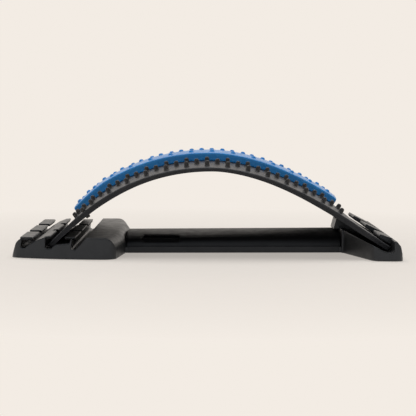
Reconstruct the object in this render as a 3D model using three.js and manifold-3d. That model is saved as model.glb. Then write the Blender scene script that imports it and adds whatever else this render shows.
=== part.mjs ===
// Arched back stretcher: a springy arched plate with a soft centre pad, held between
// a three-slot foot and a pocket foot that a low hollow bar joins.
// Millimetres, +Z up, X along the length with the three-slot foot at -X, Y across.
// The origin is on the floor, below the middle of the whole object.

import * as THREE from "three";
import { mergeVertices } from "three/addons/utils/BufferGeometryUtils.js";
import Module from "manifold-3d";

const wasm = await Module();
wasm.setup();

// Overall sizes
const footWidth = 250; // across both feet
const leftEndX = -197; // outer end of the three-slot foot
const rightEndX = 198.4; // outer end of the pocket foot
const floorGap = 0.5; // shells stand this far off the floor on their rubber feet
const clearance = 0.3; // between pieces that rest on or in each other
const cutOver = 2; // how far a cutting solid runs past what it cuts
const joinSink = 1; // how far a raised feature starts inside what carries it

// Arch line: the near and far top edges of the plate, seen from the side
const plateWidth = 220;
const leftTipX = -159.6;
const leftTipZ = 14.15;
const leftTipAngle = 46; // degrees above level
const crownX = 3.6;
const crownZ = 92.8;
const rightTipX = 187.3;
const rightTipZ = 13.3;
const rightTipAngle = 31.4;
const leftTipHandle = 56.7; // curve handles, along the tangents
const leftCrownHandle = 75.5;
const rightCrownHandle = 73.2;
const rightTipHandle = 46.5;

// Plate section
const plateMidThickness = 4;
const plateFlankThickness = 5.6;
const plateFlankRun = 110; // distance from the middle at which the flanks reach it
const plateEndThickness = 5;
const plateEndRun = 45; // the ends get thinner over this length
const plateCamber = 4.5; // rise of the middle over the two long edges
const camberFlat = 20; // length without camber at each tip
const camberRun = 60; // the camber grows to its full height over this length
const edgeLedgeWidth = 1.2;
const edgeLedgeDepth = 0.8;
const plateStep = 8.8; // length of one facet along the arch
const crownCut = 189.3; // arc length from the left tip to the joint at the crown
const heelCut = 357.8; // arc length from the left tip to the joint near the pocket
const plateGap = 0.4; // gap between neighbouring plate lengths

// Massage nubs on the plate
const nubRadius = 2.4;
const nubBaseRadius = 2.8;
const nubHeight = 5.6;
const nubSides = 7;
const nubPitch = 20.77; // along the arch
const nubStart = 38.7; // arc length of the first nub
const nubsPerRow = 15;
const nubRowOuterY = 94;
const nubRowMiddleY = 74;
const nubRowInnerY = 54;

// Edge stud, near the left end of the near edge
const studY = -105;
const studHeadRadius = 2.5;
const studShankRadius = 1.4;
const studHeadHeight = 5;
const studTailHeight = 2;
const studHoleClearance = 0.3;

// Soft centre pad
const padWidth = 76;
const padThickness = 8.4;
const padCrown = 1.3;
const padStart = 35.3; // arc length of the pad's left end
const padEnd = 326.8;
const padEdgeRadius = 1.6;
const padStep = 10.6; // length of one facet along the pad
const padDraw = 0.7; // how far the sides pull in at half height
const bumpRadius = 2.6;
const bumpHeight = 2.1;
const bumpSides = 7;
const bumpRowY = 27;
const bumpStart = 43.8; // arc length of the first bump of an outer row
const bumpsPerRow = 14; // in each outer row
const padGap = 0.6; // gap between the two pad lengths at the crown

// Three-slot foot
const slotTopZ = 20.2; // crest of the outer wall
const blockTopZ = 21.8; // flat block on the inner side
const slotRound = 1.6;
const slotOneX = -185.9; // steep face of each slot
const slotOneLean = 1.3; // how far that face leans back by its foot
const slotOneFloorZ = 10.4;
const slotOneFloorWidth = 2.8;
const slotTwoX = -161.7;
const slotTwoFloorZ = 10.3;
const slotTwoFloorWidth = 4.5;
const slotThreeX = -134.4;
const slotThreeLean = 0.9;
const slotThreeFloorZ = 9.8;
const slotThreeFloorWidth = 2.9;
const rampTopZ = 22.2; // ridge between the first two slots
const lipX = -152.8; // where the second slot's floor turns into the low shelf
const lipZ = 13.4;
const lipTopX = -151;
const lipTopZ = 14.3;
const shelfX = -136.5;
const shelfZ = 16.1;
const ridgeThreeX = -135.4;
const ridgeThreeZ = 20.3;
const blockStartX = -120.6;
const blockRoundWidth = 10.3; // rounding of the inner top edge
const blockRoundHeight = 13;
const blockRoundSteps = 6;
const leftInnerX = -84; // inner wall, where the bar meets it
const leftCornerX = -95; // inner corner at the near and far edges
const leftCornerRound = 9;
const leftOuterHalf = 98; // half width of the straight part of the outer end
const leftTurnHalf = 107.5; // where the outer end and the near side would meet
const leftShoulderX = -186;
const leftShoulderHalf = 111.5;
const leftBowX = -150;
const outerLean = 11.1; // how far the outer wall leans in by its crest
const hookPitch = 80;
const hookWidth = 62;
const hookThickness = 3;
const hookReachOne = 10.9;
const hookRiseOne = 0; // how much a hook climbs from its wall to its tip
const hookTopOneZ = 21.5;
const hookReachTwo = 4.6;
const hookRiseTwo = 0.6;
const hookRoot = 1.6; // how far a hook runs back into its ridge
const hookUndercut = 4; // a hook's lower half is this much shorter at both ends
const flapThickness = 2.6; // flat flaps on the third ridge
const flapTopZ = 21.8;
const flapStartX = -142.2;
const flapEndX = -131.7;
const flapMiddleHalf = 33;
const flapSideStartY = 45;
const flapSideEndY = 114;

// Pocket foot
const pocketInnerX = 143.5; // upper inner edge of the sloping support
const pocketInnerZ = 25.5;
const supportKneeX = 167;
const supportKneeZ = 16.2;
const pocketWallX = 189;
const pocketFloorRun = 6.5;
const pocketFloorX = pocketWallX - pocketFloorRun;
const pocketFloorZ = 8.7;
const pocketSeatRun = 5;
const pocketSeatX = pocketFloorX - pocketSeatRun;
const pocketSeatZ = 10.6;
const pocketRound = 2.2;
const outerTopZ = 20.4;
const outerTopX = 191.2;
const outerShoulderX = 195.6;
const outerShoulderZ = 15.2;
const outerHipX = 197.6;
const outerHipZ = 7;
const rightWaistX = 143.5; // inner wall, where the bar meets it
const rightWaistHalf = 44.6;
const rightStepRun = 1.9; // a small rounded step beside the bar
const rightStepX = rightWaistX + rightStepRun;
const rightStepHalf = 46.6;
const rightCornerX = 169; // inner corner at the near and far edges
const rightCornerRound = 9;
const saddleHalf = 18; // half width of the raised middle of the support
const saddleReach = 3.2; // its inner edge lies this far over the bar
const saddleStartX = rightWaistX - saddleReach;
const saddleHoodReach = 2.8; // and its foot a little further
const saddleHoodX = saddleStartX - saddleHoodReach;
const saddleLowZ = 21.5;
const saddleHoodZ = 23.3; // just above the bar's top
const saddleEndX = 171;
const saddleDrop = 1.2; // clearance below the plate
const lipTabWidth = 52;
const lipTabPitch = 69.5;
const lipTabThickness = 4.2;
const lipTabReachXs = [177, 170.6, 165]; // tips of the lips, from the near side
const lipTabClearance = 0.9;

// Shell construction
const wall = 2.6;
const ribThickness = 2.4;
const cellMargin = 5.2; // solid left beside a rounded edge
const cellPitch = 30;
const bayPitch = 34.5; // bays under the bar
const shallowCeilingZ = 6.4;
const deepCeilingZ = 14.5;
const pocketCeilingZ = 12.6;

// Bar: a barrel-topped shell that stands in a tray
const barStartX = leftInnerX + clearance;
const barEndX = rightWaistX - clearance;
const barStartHalf = 58;
const barEndHalf = 43;
const barStartTopZ = 19.6;
const barEndTopZ = 23;
const barShoulderZ = 9;
const barWall = 2.4;
const trayTopZ = 7;
const trayFloor = 1.8;
const trayWall = 1.6;
const tongueLength = 20;
const tongueHalf = 30;
const tongueBottomZ = 4.4;
const tongueTopZ = 12;
const socketWall = 2.6;
const recessStartX = -67.5;
const recessEndX = -26.5;
const recessLowZ = 11.6;
const recessHighZ = 17;
const recessDepth = 1.3;
const collarLength = 2.6;
const collarProud = 1.3;

// Fasteners and rubber feet
const screwHeadRadius = 3.4;
const screwHeadHeight = 1.8;
const screwShankRadius = 1.6;
const screwLength = 8.6;
const screwSides = 10;
const bossRadius = 4.4;
const tongueScrewY = 18;
const tongueScrewInset = 11; // from the inner wall into the foot
const trayScrewInset = 42; // from each end of the bar
const trayScrewY = 22;
const rubberLength = 26;
const rubberWidth = 12;
const rubberHeight = 2.6;
const rubberSeatMargin = 3;
const rightRubberInset = 20.9; // from the outer end to the middle of the pads under the pocket foot

// Materials
function plastic(color, roughness) {
  return new THREE.MeshStandardMaterial({ color, roughness, metalness: 0 });
}
const blackShell = plastic(0x262627, 0.42);
const blackTray = plastic(0x2d2d2e, 0.5);
const greyPlate = plastic(0x4a484b, 0.46);
const darkStud = plastic(0x3d3836, 0.55);
const blueFoam = plastic(0x2b78bd, 0.62);
const blackRubber = plastic(0x1b1b1b, 0.85);
const steel = new THREE.MeshStandardMaterial({ color: 0x8e9094, roughness: 0.35, metalness: 1 });

// Solids
function solidOf(geometry) {
  const bare = geometry.index ? geometry.clone() : geometry;
  bare.deleteAttribute("normal");
  bare.deleteAttribute("uv");
  const merged = mergeVertices(bare);
  const mesh = new wasm.Mesh({
    numProp: 3,
    vertProperties: new Float32Array(merged.attributes.position.array),
    triVerts: new Uint32Array(merged.index.array),
  });
  return new wasm.Manifold(mesh);
}

function meshOf(name, solid, material) {
  const mesh = solid.getMesh();
  const geometry = new THREE.BufferGeometry();
  const places = new Float32Array(mesh.vertProperties);
  geometry.setAttribute("position", new THREE.BufferAttribute(places, mesh.numProp));
  geometry.setIndex(new THREE.BufferAttribute(new Uint32Array(mesh.triVerts), 1));
  geometry.computeVertexNormals();
  const node = new THREE.Mesh(geometry, material);
  node.name = name;
  return node;
}

function joined(solids) {
  return solids.reduce((sum, solid) => sum.add(solid));
}

function outline(points) {
  return new THREE.Shape(points.map(([a, b]) => new THREE.Vector2(a, b)));
}

// A prism with an outline in X and Z that runs from y0 to y1
const curveSteps = 6;

function prismAlongY(shape, y0, y1, curveSegments = curveSteps) {
  const options = { depth: y1 - y0, bevelEnabled: false, curveSegments };
  const geometry = new THREE.ExtrudeGeometry(shape, options);
  geometry.rotateX(Math.PI / 2);
  geometry.translate(0, y1, 0);
  return solidOf(geometry);
}

// A prism with an outline in X and Y that runs from z0 to z1
function prismAlongZ(shape, z0, z1, curveSegments = curveSteps) {
  const options = { depth: z1 - z0, bevelEnabled: false, curveSegments };
  const geometry = new THREE.ExtrudeGeometry(shape, options);
  geometry.translate(0, 0, z0);
  return solidOf(geometry);
}

function block(x0, x1, y0, y1, z0, z1) {
  const geometry = new THREE.BoxGeometry(x1 - x0, y1 - y0, z1 - z0);
  geometry.translate((x0 + x1) / 2, (y0 + y1) / 2, (z0 + z1) / 2);
  return solidOf(geometry);
}

// A solid turned about a vertical axis at x, y; the profile lists radius and height pairs
function turned(profile, sides, x, y) {
  const geometry = new THREE.LatheGeometry(profile.map(([r, z]) => new THREE.Vector2(r, z)), sides);
  geometry.rotateX(Math.PI / 2);
  geometry.translate(x, y, 0);
  return solidOf(geometry);
}

function cylinder(radius, z0, z1, sides, x, y) {
  return turned([[0, z0], [radius, z0], [radius, z1], [0, z1]], sides, x, y);
}

// Arch line
const leftTip = new THREE.Vector2(leftTipX, leftTipZ);
const crown = new THREE.Vector2(crownX, crownZ);
const rightTip = new THREE.Vector2(rightTipX, rightTipZ);
const leftAngle = THREE.MathUtils.degToRad(leftTipAngle);
const rightAngle = THREE.MathUtils.degToRad(rightTipAngle);

// The place at a handle's length from a tip, at an angle above level
function handleFrom(tip, angle, length) {
  return new THREE.Vector2(tip.x + length * Math.cos(angle), tip.y + length * Math.sin(angle));
}

const archLine = new THREE.CurvePath();
archLine.add(new THREE.CubicBezierCurve(
  leftTip,
  handleFrom(leftTip, leftAngle, leftTipHandle),
  new THREE.Vector2(crownX - leftCrownHandle, crownZ),
  crown,
));
archLine.add(new THREE.CubicBezierCurve(
  crown,
  new THREE.Vector2(crownX + rightCrownHandle, crownZ),
  handleFrom(rightTip, Math.PI - rightAngle, rightTipHandle),
  rightTip,
));
const archLength = archLine.getLength();

// The point and the upward normal of the arch line at arc length s
function archFrame(s) {
  const share = THREE.MathUtils.clamp(s / archLength, 0, 1);
  const point = archLine.getPointAt(share);
  const tangent = archLine.getTangentAt(share);
  return { point, tangent, normal: new THREE.Vector2(-tangent.y, tangent.x) };
}

function fade(distance, run) {
  return THREE.MathUtils.smoothstep(distance, 0, run);
}

// Height of the plate's top over the arch line, and the plate's thickness
function camberAt(s, y) {
  const fromTip = Math.min(s, archLength - s) - camberFlat;
  const full = plateCamber * fade(fromTip, camberRun);
  const across = (2 * y) / plateWidth;
  return full * (1 - across * across);
}

function thicknessAt(s) {
  const fromTip = Math.min(s, archLength - s);
  const flankShare = THREE.MathUtils.clamp((archLength / 2 - fromTip) / plateFlankRun, 0, 1);
  const grown = THREE.MathUtils.lerp(plateMidThickness, plateFlankThickness, flankShare);
  return THREE.MathUtils.lerp(plateEndThickness, grown, fade(fromTip, plateEndRun));
}

// A strip that follows the arch from s0 to s1; section(s) gives its top and bottom rows
function archStrip(stations, section) {
  const rings = stations.map((s) => {
    const { point, normal } = archFrame(s);
    const { top, bottom } = section(s);
    const placed = ([y, n]) => [point.x + normal.x * n, y, point.y + normal.y * n];
    return [top.map(placed), bottom.map(placed)];
  });
  const columns = rings[0][0].length;
  const positions = [];
  const quad = (a, b, c, d) => positions.push(...a, ...b, ...c, ...a, ...c, ...d);
  for (let i = 0; i + 1 < rings.length; i++) {
    const [top, bottom] = rings[i];
    const [nextTop, nextBottom] = rings[i + 1];
    for (let j = 0; j + 1 < columns; j++) {
      quad(top[j], nextTop[j], nextTop[j + 1], top[j + 1]);
      quad(bottom[j], bottom[j + 1], nextBottom[j + 1], nextBottom[j]);
    }
    const last = columns - 1;
    quad(top[0], bottom[0], nextBottom[0], nextTop[0]);
    quad(top[last], nextTop[last], nextBottom[last], bottom[last]);
  }
  const caps = [rings[0], rings[rings.length - 1]];
  for (let j = 0; j + 1 < columns; j++) {
    const [[top, bottom], [endTop, endBottom]] = caps;
    quad(top[j], top[j + 1], bottom[j + 1], bottom[j]);
    quad(endTop[j], endBottom[j], endBottom[j + 1], endTop[j + 1]);
  }
  const geometry = new THREE.BufferGeometry();
  geometry.setAttribute("position", new THREE.Float32BufferAttribute(positions, 3));
  return solidOf(geometry);
}

function stationsBetween(s0, s1, step) {
  const count = Math.max(1, Math.round((s1 - s0) / step));
  return Array.from({ length: count + 1 }, (_, i) => s0 + ((s1 - s0) * i) / count);
}

// A round feature that stands square on the plate or pad at arc length s
function standing(profile, sides, s, y, height) {
  const { point, tangent, normal } = archFrame(s);
  const geometry = new THREE.LatheGeometry(profile.map(([r, h]) => new THREE.Vector2(r, h)), sides);
  const basis = new THREE.Matrix4().makeBasis(
    new THREE.Vector3(tangent.x, 0, tangent.y),
    new THREE.Vector3(normal.x, 0, normal.y),
    new THREE.Vector3(0, -1, 0),
  );
  basis.setPosition(point.x + normal.x * height, y, point.y + normal.y * height);
  geometry.applyMatrix4(basis);
  return solidOf(geometry);
}

// Plate
const halfPlate = plateWidth / 2;
const plateColumnShares = [-1, -2 / 3, -1 / 3, 0, 1 / 3, 2 / 3, 1];

function plateSection(s) {
  const inner = halfPlate - edgeLedgeWidth;
  const ledge = [[-halfPlate, -edgeLedgeDepth], [-inner, -edgeLedgeDepth]];
  const crowned = plateColumnShares.map((share) => [share * (inner - edgeLedgeDepth / 2), 0]);
  const columns = [...ledge, ...crowned, [inner, -edgeLedgeDepth], [halfPlate, -edgeLedgeDepth]];
  const top = columns.map(([y, drop]) => [y, camberAt(s, y) + drop]);
  const bottom = columns.map(([y]) => [y, camberAt(s, y) - thicknessAt(s)]);
  return { top, bottom };
}

const nubDomeShare = 0.62;
const nubShoulderShare = 0.8;
const nubProfile = [
  [0, -joinSink],
  [nubBaseRadius, -joinSink],
  [nubRadius, nubHeight * (1 - nubDomeShare)],
  [nubRadius * nubShoulderShare, nubHeight * nubShoulderShare],
  [0, nubHeight],
];

// The nubs' places: outer and inner rows at whole pitches, the middle row between them
function nubPlaces() {
  const places = [];
  for (let i = 0; i < nubsPerRow; i++) {
    const s = nubStart + nubPitch * i;
    for (const side of [-1, 1]) {
      places.push([s, side * nubRowOuterY], [s, side * nubRowInnerY]);
      if (i + 1 < nubsPerRow) {
        places.push([s + nubPitch / 2, side * nubRowMiddleY]);
      }
    }
  }
  return places;
}

const studS = nubStart + nubPitch / 2;

function plateLength(s0, s1) {
  let plate = archStrip(stationsBetween(s0, s1, plateStep), plateSection);
  const nubs = nubPlaces()
    .filter(([s]) => s > s0 && s < s1)
    .map(([s, y]) => standing(nubProfile, nubSides, s, y, camberAt(s, y)));
  if (nubs.length) {
    plate = joined([plate, ...nubs]);
  }
  if (studS > s0 && studS < s1) {
    const deep = thicknessAt(studS) + cutOver;
    const holeRadius = studShankRadius + studHoleClearance;
    const hole = [[0, -deep], [holeRadius, -deep], [holeRadius, cutOver], [0, cutOver]];
    plate = plate.subtract(standing(hole, screwSides, studS, studY, camberAt(studS, studY)));
  }
  return plate;
}

// The stud has its domed head on top of the plate and a riveted tail under it
function edgeStud() {
  const top = camberAt(studS, studY);
  const under = -(thicknessAt(studS) + clearance);
  const tail = under - studTailHeight;
  return standing([
    [0, tail],
    [studHeadRadius * nubShoulderShare, tail],
    [studHeadRadius, under],
    [studShankRadius, under],
    [studShankRadius, clearance],
    [studHeadRadius, clearance],
    [studHeadRadius, studHeadHeight * (1 - nubDomeShare)],
    [studHeadRadius * nubShoulderShare, studHeadHeight * nubShoulderShare],
    [0, studHeadHeight],
  ], screwSides, studS, studY, top);
}

// Pad
const halfPad = padWidth / 2;
const padColumnShares = [-0.62, -0.31, 0, 0.31, 0.62];

function padTopAt(s, y) {
  const across = y / halfPad;
  const fromEnd = Math.min(s - padStart, padEnd - s);
  const endFall = padEdgeRadius * (1 - fade(fromEnd, 2 * padEdgeRadius));
  return camberAt(s, y) + clearance + padThickness + padCrown * (1 - across * across) - endFall;
}

const padRoundShare = 1 / 3; // where the side's rounding has its middle point
const padUnderShares = [-1, -0.9, -0.8, -0.7, ...padColumnShares, 0.7, 0.8, 0.9, 1];

function padSection(s) {
  const bottomAt = (y) => camberAt(s, y) + clearance;
  const topAt = (y) => padTopAt(s, y);
  const half = halfPad;
  const rounded = half - padEdgeRadius;
  const sideColumn = (side) => [
    [side * (half - padDraw), (bottomAt(half) + topAt(half)) / 2],
    [side * half, topAt(half) - padEdgeRadius],
    [side * (half - padEdgeRadius * padRoundShare), topAt(half) - padEdgeRadius * padRoundShare],
    [side * rounded, topAt(rounded)],
  ];
  const middle = padColumnShares.map((share) => [share * half, topAt(share * half)]);
  const top = [...sideColumn(-1), ...middle, ...sideColumn(1).reverse()];
  const bottom = padUnderShares.map((share) => [share * half, bottomAt(share * half)]);
  return { top, bottom };
}

const bumpShoulderShare = 0.72;
const bumpProfile = [
  [0, -joinSink],
  [bumpRadius, -joinSink],
  [bumpRadius, 0],
  [bumpRadius * bumpShoulderShare, bumpHeight * bumpShoulderShare],
  [0, bumpHeight],
];

// The bumps' places: two outer rows, and a middle row between their bumps
function bumpPlaces() {
  const places = [];
  for (let i = 0; i < bumpsPerRow; i++) {
    const s = bumpStart + nubPitch * i;
    places.push([s, -bumpRowY], [s, bumpRowY]);
    if (i + 1 < bumpsPerRow) {
      places.push([s + nubPitch / 2, 0]);
    }
  }
  return places;
}

function padLength(s0, s1) {
  const between = stationsBetween(s0 + padEdgeRadius, s1 - padEdgeRadius, padStep);
  const stations = [s0, ...between, s1];
  const bumps = bumpPlaces()
    .filter(([s]) => s > s0 && s < s1)
    .map(([s, y]) => standing(bumpProfile, bumpSides, s, y, padTopAt(s, y)));
  return joined([archStrip(stations, padSection), ...bumps]);
}

// Three-slot foot
const halfFoot = footWidth / 2;

// A slot's outline: a face that leans back from its crest, and a flat floor
const slotRoundRiseShare = 0.75;

function slotPoints(wallX, lean, crestZ, floorZ, floorWidth) {
  const footX = wallX - lean;
  return [
    [wallX, crestZ],
    [footX, floorZ + slotRound * slotRoundRiseShare],
    [footX + slotRound, floorZ],
    [footX + slotRound + floorWidth, floorZ],
  ];
}

// Points between two ends, at shares of the width and of the height between them
function between([x0, z0], [x1, z1], shares) {
  return shares.map(([along, up]) => [x0 + (x1 - x0) * along, z0 + (z1 - z0) * up]);
}

const outerLeanShares = [[0.31, 0.57], [0.4, 0.72], [0.53, 0.83], [0.7, 0.92], [0.86, 0.985]];
const rampShares = [[0.08, 0.14], [0.22, 0.34], [0.37, 0.48], [0.59, 0.72]];
const risingShares = [[0.06, 0.09], [0.55, 0.51], [0.85, 0.82]];

function leftProfile() {
  const outerFoot = [leftEndX, floorGap];
  const slotOne = slotPoints(slotOneX, slotOneLean, slotTopZ, slotOneFloorZ, slotOneFloorWidth);
  const slotTwo = slotPoints(slotTwoX, 0, rampTopZ, slotTwoFloorZ, slotTwoFloorWidth);
  const slotThree = slotPoints(
    slotThreeX, slotThreeLean, ridgeThreeZ, slotThreeFloorZ, slotThreeFloorWidth,
  );
  return outline([
    outerFoot,
    ...between(outerFoot, slotOne[0], outerLeanShares),
    ...slotOne,
    ...between(slotOne[slotOne.length - 1], slotTwo[0], rampShares),
    ...slotTwo,
    [lipX, lipZ],
    [lipTopX, lipTopZ],
    [shelfX, shelfZ],
    [ridgeThreeX, ridgeThreeZ],
    ...slotThree,
    ...between(slotThree[slotThree.length - 1], [blockStartX, blockTopZ], risingShares),
    [blockStartX, blockTopZ],
    [leftInnerX, blockTopZ],
    [leftInnerX, floorGap],
  ]);
}

// Flat flaps on the third ridge, over the shelf and the slot beside it
function flap(y0, y1) {
  const middleZ = flapTopZ - flapThickness / 2;
  const lowZ = flapTopZ - flapThickness;
  return block(flapStartX, flapEndX, y0, y1, middleZ, flapTopZ)
    .add(block(flapStartX, flapEndX, y0 + hookUndercut, y1 - hookUndercut, lowZ, flapTopZ));
}

function flaps() {
  return [
    flap(-flapMiddleHalf, flapMiddleHalf),
    flap(flapSideStartY, flapSideEndY),
    flap(-flapSideEndY, -flapSideStartY),
  ];
}

// A block whose inner top edge is rounded all along the foot's inner wall
function leftRounding() {
  const beyond = 2 * halfFoot;
  const shape = outline([
    [2 * leftEndX, -beyond],
    [leftCornerX - leftCornerRound, -beyond],
    [leftCornerX + leftCornerRound / 2, -halfFoot + leftCornerRound],
    [leftInnerX, -barStartHalf],
    [leftInnerX, barStartHalf],
    [leftCornerX + leftCornerRound / 2, halfFoot - leftCornerRound],
    [leftCornerX - leftCornerRound, beyond],
    [2 * leftEndX, beyond],
  ]);
  const geometry = new THREE.ExtrudeGeometry(shape, {
    depth: blockTopZ,
    bevelEnabled: true,
    bevelSize: blockRoundWidth,
    bevelOffset: -blockRoundWidth,
    bevelThickness: blockRoundHeight,
    bevelSegments: blockRoundSteps,
  });
  geometry.translate(0, 0, -blockRoundHeight);
  return solidOf(geometry);
}

function leftPlan(inset) {
  const half = halfFoot - inset;
  const endX = leftEndX + inset;
  const shoulder = [leftShoulderX + inset, leftShoulderHalf - inset];
  const turn = leftTurnHalf - inset;
  const bow = half;
  const cornerX = leftCornerX + leftCornerRound / 2 - inset;
  const shape = new THREE.Shape();
  shape.moveTo(endX, inset - leftOuterHalf);
  shape.quadraticCurveTo(endX, -turn, shoulder[0], -shoulder[1]);
  shape.quadraticCurveTo(leftBowX, -bow, leftCornerX - leftCornerRound, -half);
  shape.quadraticCurveTo(leftCornerX - inset, -half, cornerX, leftCornerRound - half);
  shape.lineTo(leftInnerX - inset, -barStartHalf);
  shape.lineTo(leftInnerX - inset, barStartHalf);
  shape.lineTo(cornerX, half - leftCornerRound);
  shape.quadraticCurveTo(leftCornerX - inset, half, leftCornerX - leftCornerRound, half);
  shape.quadraticCurveTo(leftBowX, bow, shoulder[0], shoulder[1]);
  shape.quadraticCurveTo(endX, turn, endX, leftOuterHalf - inset);
  shape.closePath();
  return shape;
}

// A hook runs along its ridge's top and reaches over the slot beside it
const hookNoseShare = 1 / 3;
const hookUnderNoseShare = 1 / 6;

function hooks(wallX, topZ, reach, rise) {
  const tipX = wallX + reach;
  const tipZ = topZ + rise;
  const rootX = wallX - hookRoot;
  const rootZ = topZ - (rise * hookRoot) / reach;
  const upper = [
    [rootX, rootZ],
    [tipX - hookThickness * hookNoseShare, tipZ],
    [tipX, tipZ - hookThickness * hookNoseShare],
    [tipX, tipZ - hookThickness / 2],
    [rootX, rootZ - hookThickness / 2],
  ];
  const whole = [
    ...upper.slice(0, 3),
    [tipX - hookThickness * hookUnderNoseShare, tipZ - hookThickness],
    [wallX - joinSink / 2, topZ - hookThickness - joinSink / 2],
    [rootX, rootZ - hookThickness - joinSink],
  ];
  return [-1, 0, 1].map((row) => {
    const y0 = row * hookPitch - hookWidth / 2;
    const y1 = row * hookPitch + hookWidth / 2;
    return prismAlongY(outline(upper), y0, y1)
      .add(prismAlongY(outline(whole), y0 + hookUndercut, y1 - hookUndercut));
  });
}

// Cells that hollow a shell from below, leaving ribs between them
function cells(columns, rowCount, y0) {
  const solids = [];
  for (const [x0, x1, ceiling] of columns) {
    for (let row = 0; row < rowCount; row++) {
      const low = y0 + row * cellPitch + ribThickness / 2;
      const high = low + cellPitch - ribThickness;
      solids.push(block(x0 + ribThickness / 2, x1 - ribThickness / 2, low, high, -cutOver, ceiling));
    }
  }
  return joined(solids);
}

const leftRubberPlaces = [
  [leftShoulderX + rubberLength, -leftOuterHalf + rubberWidth],
  [leftShoulderX + rubberLength, leftOuterHalf - rubberWidth],
  [leftCornerX - rubberLength, -halfFoot + 2 * rubberWidth],
  [leftCornerX - rubberLength, halfFoot - 2 * rubberWidth],
];
const rightRubberPlaces = [
  [rightEndX - rightRubberInset, -halfFoot + 2 * rubberWidth],
  [rightEndX - rightRubberInset, halfFoot - 2 * rubberWidth],
];

function oblong(x, y, length, width) {
  const radius = width / 2;
  const reach = length / 2 - radius;
  const shape = new THREE.Shape();
  shape.absarc(x, y + reach, radius, 0, Math.PI);
  shape.absarc(x, y - reach, radius, Math.PI, 2 * Math.PI);
  shape.closePath();
  return shape;
}

// What stays solid above a rubber foot, and the seat cut for it
function rubberBoss([x, y]) {
  const margin = 2 * rubberSeatMargin;
  const shape = oblong(x, y, rubberLength + margin, rubberWidth + margin);
  return prismAlongZ(shape, -2 * cutOver, slotThreeFloorZ);
}

function rubberSeat([x, y]) {
  const seat = oblong(x, y, rubberLength + 2 * clearance, rubberWidth + 2 * clearance);
  return prismAlongZ(seat, -cutOver, rubberHeight + clearance);
}

function rubberFoot([x, y]) {
  return prismAlongZ(oblong(x, y, rubberLength, rubberWidth), 0, rubberHeight);
}

// Sockets for the bar's tongues, with screw holes from below
function socketHouse(innerX, side) {
  const deep = tongueLength + socketWall + clearance;
  const x0 = Math.min(innerX, innerX + side * deep);
  const x1 = Math.max(innerX, innerX + side * deep);
  const half = tongueHalf + clearance + socketWall;
  return block(x0, x1, -half, half, floorGap, tongueTopZ + clearance + socketWall);
}

function socketCut(innerX, side) {
  const deep = tongueLength + clearance;
  const x0 = Math.min(innerX - side * cutOver, innerX + side * deep);
  const x1 = Math.max(innerX - side * cutOver, innerX + side * deep);
  const half = tongueHalf + clearance;
  return block(x0, x1, -half, half, tongueBottomZ - clearance, tongueTopZ + clearance);
}

// A screw stands head down with its head just above the bottom it is sunk in
const screwHeadZ = floorGap + clearance;

function screwProfile() {
  const neckZ = screwHeadZ + screwHeadHeight;
  return [
    [0, screwHeadZ],
    [screwHeadRadius, screwHeadZ],
    [screwHeadRadius, neckZ],
    [screwShankRadius, neckZ],
    [screwShankRadius, screwHeadZ + screwLength],
    [0, screwHeadZ + screwLength + screwShankRadius / 2],
  ];
}

function screwHole([x, y]) {
  const neckZ = screwHeadZ + screwHeadHeight + clearance;
  const tipZ = screwHeadZ + screwLength + screwShankRadius / 2 + clearance;
  const head = screwHeadRadius + clearance;
  const shank = screwShankRadius + clearance;
  const profile = [
    [0, -cutOver], [head, -cutOver], [head, neckZ], [shank, neckZ], [shank, tipZ], [0, tipZ],
  ];
  return turned(profile, screwSides, x, y);
}

function screw([x, y]) {
  return turned(screwProfile(), screwSides, x, y);
}

const leftScrewPlaces = [-1, 1].map((side) => {
  return [leftInnerX - tongueScrewInset, side * tongueScrewY];
});
const rightScrewPlaces = [-1, 1].map((side) => {
  return [rightWaistX + tongueScrewInset, side * tongueScrewY];
});
const trayScrewPlaces = [barStartX + trayScrewInset, barEndX - trayScrewInset]
  .flatMap((x) => [-1, 1].map((side) => [x, side * trayScrewY]));

// A collar on a foot's inner wall frames the tray's end
function collar(x0, x1, half) {
  const outer = half + collarProud;
  const inner = half + clearance;
  const opening = block(x0 - cutOver, x1 + cutOver, -inner, inner, -cutOver, trayTopZ + cutOver);
  return block(x0, x1, -outer, outer, floorGap + clearance, trayTopZ).subtract(opening);
}

// A shell's cells fill its width, inside its plan and clear of what stays solid
function shellHollow(columns, insidePlan, solidParts) {
  const rows = Math.ceil(footWidth / cellPitch);
  return cells(columns, rows, (-rows * cellPitch) / 2).intersect(insidePlan).subtract(solidParts);
}

function leftFoot() {
  const body = prismAlongY(leftProfile(), -halfFoot, halfFoot).intersect(leftRounding());
  const crest = joined([
    ...hooks(slotOneX, hookTopOneZ, hookReachOne, hookRiseOne),
    ...hooks(slotTwoX, rampTopZ, hookReachTwo, hookRiseTwo),
    ...flaps(),
  ]);
  const plan = prismAlongZ(leftPlan(0), -cutOver, 2 * blockTopZ);
  const insidePlan = prismAlongZ(leftPlan(wall), -2 * cutOver, 2 * blockTopZ);
  const columns = [
    [leftEndX + outerLean, slotTwoX - ribThickness * 2, shallowCeilingZ],
    [slotTwoX - ribThickness * 2, slotThreeX - ribThickness * 2, shallowCeilingZ],
    [slotThreeX - ribThickness * 2, blockStartX, shallowCeilingZ],
    [blockStartX, leftCornerX - cellMargin, deepCeilingZ],
  ];
  const solidParts = joined([...leftRubberPlaces.map(rubberBoss), socketHouse(leftInnerX, -1)]);
  const wallCollar = collar(leftInnerX - joinSink, leftInnerX + collarLength, barStartHalf);
  return joined([body.add(crest).intersect(plan), wallCollar])
    .subtract(shellHollow(columns, insidePlan, solidParts))
    .subtract(socketCut(leftInnerX, -1))
    .subtract(joined([...leftRubberPlaces.map(rubberSeat), ...leftScrewPlaces.map(screwHole)]));
}

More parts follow.
